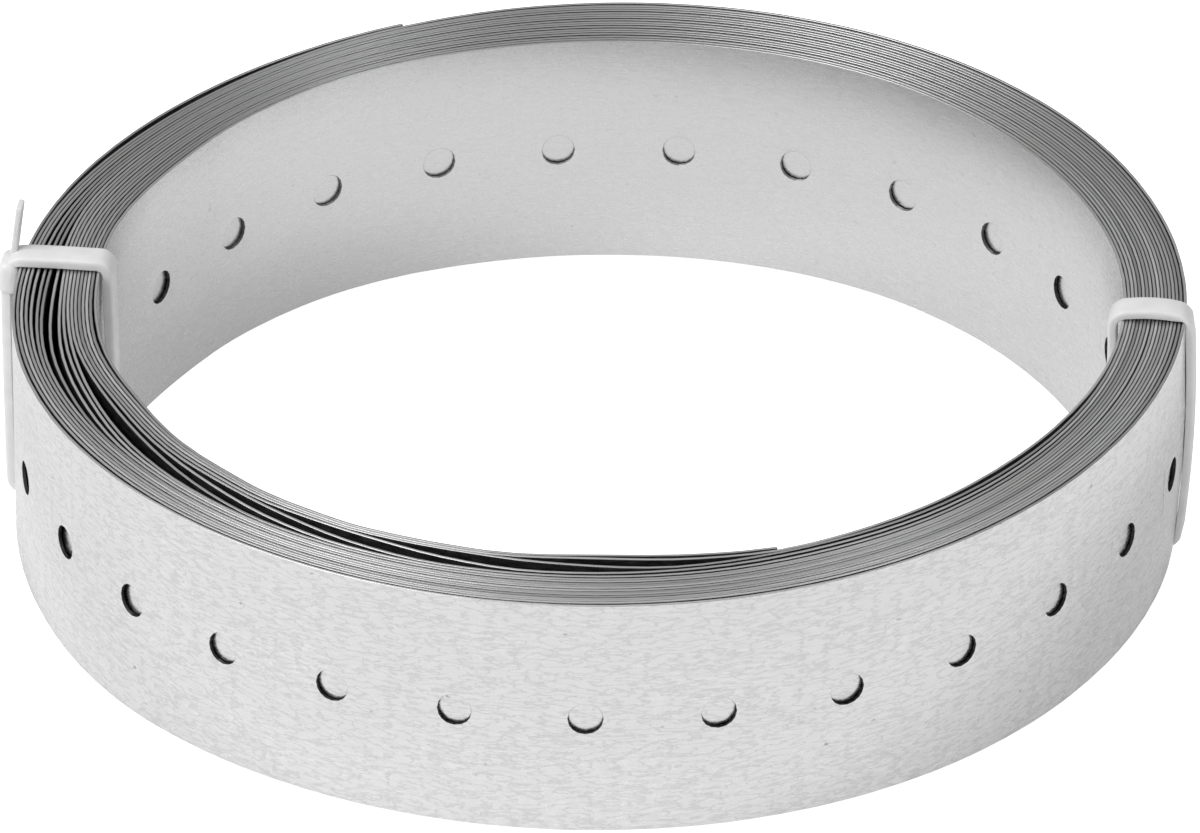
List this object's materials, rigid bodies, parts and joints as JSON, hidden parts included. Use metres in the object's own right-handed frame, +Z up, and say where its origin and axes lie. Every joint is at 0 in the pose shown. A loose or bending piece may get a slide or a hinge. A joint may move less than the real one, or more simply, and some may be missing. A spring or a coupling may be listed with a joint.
{
  "type": "coil of perforated steel strap",
  "caption": "Coil of galvanised steel hanger strap with a row of round nail holes along its middle, lying flat and held by nylon cable ties.",
  "frame": {"origin": "on the coil's axis at the level of the floor that the coil lies on", "axes": "+Z up along the coil's axis, +X from the left tie towards the right tie as the picture shows them, the picture is taken from -Y"},
  "size_m": [0.1389, 0.1357, 0.0376],
  "materials": {
    "strap": "bright zinc, fine streaks along the strap",
    "tie": "natural white nylon"
  },
  "bodies": {
    "root": {"strap_coil": "strap", "tie_left": "tie", "tie_right": "tie"}
  },
  "joints": []
}
